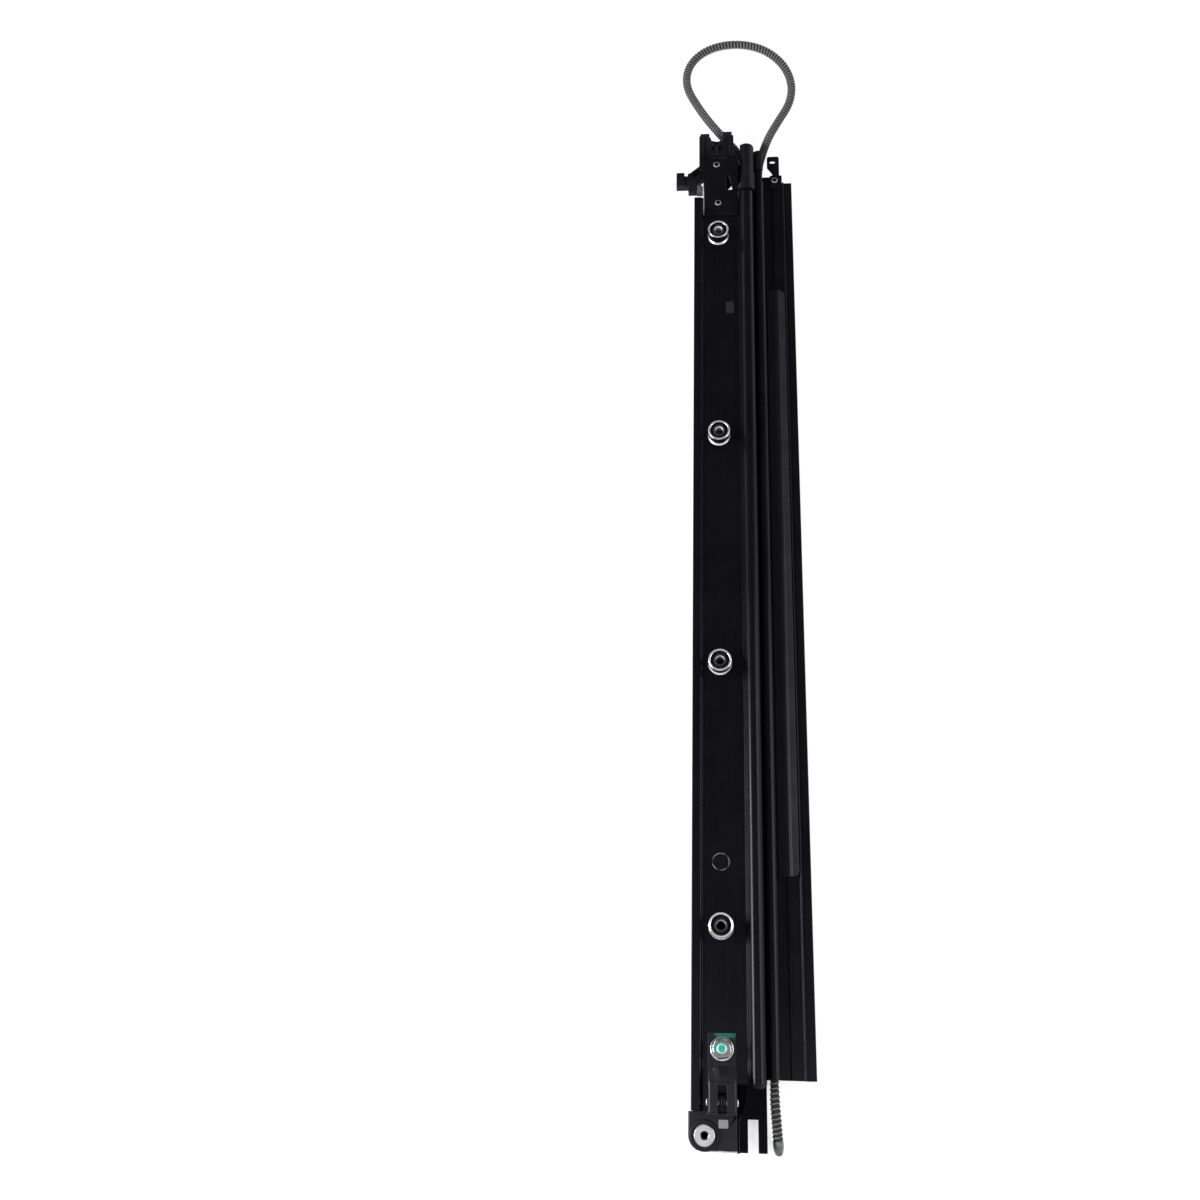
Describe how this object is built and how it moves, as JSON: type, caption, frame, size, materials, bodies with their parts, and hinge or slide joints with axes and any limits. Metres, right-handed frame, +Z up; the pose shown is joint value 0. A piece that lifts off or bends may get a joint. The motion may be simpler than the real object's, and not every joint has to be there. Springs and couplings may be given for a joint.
{
  "type": "sunroof track",
  "caption": "Guide track of a sliding sunroof: extruded rail with cable tubes, rubber mounting bushes, sliding carriage, end brackets and a free loop of drive cable.",
  "frame": {"origin": "under the middle of the track without its free cables, on the surface it lies on", "axes": "+Y along the rail from its fork and grommet end to its cable loop end, +Z up out of the bushes, +X towards the outer trough"},
  "size_m": [0.091, 0.8149, 0.029],
  "materials": {
    "anodised_aluminium": "black anodised, satin, slightly worn",
    "black_steel": "black coated sheet steel, bright worn edges",
    "zinc_steel": "zinc plated",
    "teal_paint": "teal marking paint over zinc plating",
    "rubber": "soft black rubber",
    "black_plastic": "moulded, fine grain",
    "grey_plastic": "moulded, semi-matt",
    "white_plastic": "natural nylon",
    "flocked_cable": "flocked steel helix cable",
    "ferrule_green": "grey-green crimped tip"
  },
  "bodies": {
    "track": {"bracket_bolt": "zinc_steel", "bracket_nut": "teal_paint", "bush_collar_1": "zinc_steel", "bush_collar_2": "zinc_steel", "bush_collar_3": "zinc_steel", "bush_collar_4": "zinc_steel", "bush_rubber_1": "rubber", "bush_rubber_2": "rubber", "bush_rubber_3": "rubber", "bush_rubber_4": "rubber", "bush_sleeve_1": "zinc_steel", "bush_sleeve_2": "zinc_steel", "bush_sleeve_3": "zinc_steel", "bush_sleeve_4": "zinc_steel", "cable_ferrule": "ferrule_green", "cable_guide_block": "black_plastic", "cable_loop": "flocked_cable", "cable_tail": "flocked_cable", "drive_cable_run": "flocked_cable", "drive_tube_plug": "grey_plastic", "front_bracket": "black_steel", "guide_rail": "anodised_aluminium", "guide_rivet": "zinc_steel", "hole_plug": "black_plastic", "lever_pin": "zinc_steel", "rail_rivet": "zinc_steel", "rear_bracket": "black_steel", "rear_grommet": "rubber", "rear_sleeve": "zinc_steel", "return_cable_run": "flocked_cable", "roller_pin": "zinc_steel", "runner_strip": "grey_plastic", "tab_plate": "black_steel", "tab_rivet": "zinc_steel", "tube_hood": "black_plastic"},
    "carriage": {"carriage_body": "black_plastic", "cable_driver": "zinc_steel", "guide_shoe_1": "white_plastic", "guide_shoe_2": "white_plastic", "guide_shoe_3": "white_plastic", "guide_shoe_4": "white_plastic"},
    "roller": {"hump_roller": "black_plastic"},
    "lever": {"front_lever": "black_plastic", "lever_bumper": "white_plastic"}
  },
  "joints": [
    {"name": "carriage_slide", "type": "slide", "parent": "track", "child": "carriage", "axis": [0, 1, 0], "range_m": [0, 0.43]},
    {"name": "roller_spin", "type": "hinge", "parent": "track", "child": "roller", "pos_m": [-0.0114, -0.3273, 0.0236], "axis": [1, 0, 0], "continuous": true},
    {"name": "lever_swing", "type": "hinge", "parent": "track", "child": "lever", "pos_m": [-0.0178, 0.3235, 0.0162], "axis": [0, 0, 1], "range_deg": [-28, 0]}
  ]
}
